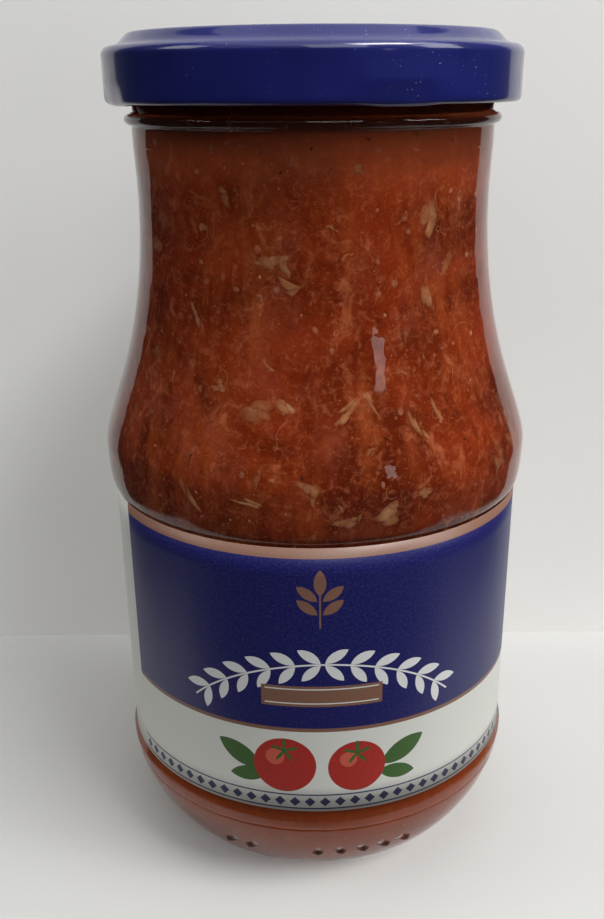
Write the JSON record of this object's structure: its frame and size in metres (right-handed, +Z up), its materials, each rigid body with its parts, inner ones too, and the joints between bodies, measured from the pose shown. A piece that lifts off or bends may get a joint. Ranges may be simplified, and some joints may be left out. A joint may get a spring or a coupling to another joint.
{
  "type": "tomato sauce jar",
  "caption": "Round waisted glass jar of tomato sauce with a blue twist-off metal lid and a wrap-around paper label, shut and full.",
  "frame": {"origin": "centre of the foot, on the surface that the jar stands on", "axes": "+Z up along the jar's axis; the middle of the label's front faces -Y"},
  "size_m": [0.0748, 0.0748, 0.1427],
  "materials": {
    "glass": "clear, smooth container glass",
    "sauce": "thick dark red-brown tomato sauce with pale pieces",
    "label_paper": "coated paper, printed dark blue, copper and off-white",
    "lid_lacquer": "glossy blue lacquer on thin steel"
  },
  "bodies": {
    "root": {"glass_jar": "glass", "sauce": "sauce", "label": "label_paper", "lid": "lid_lacquer"}
  },
  "joints": []
}
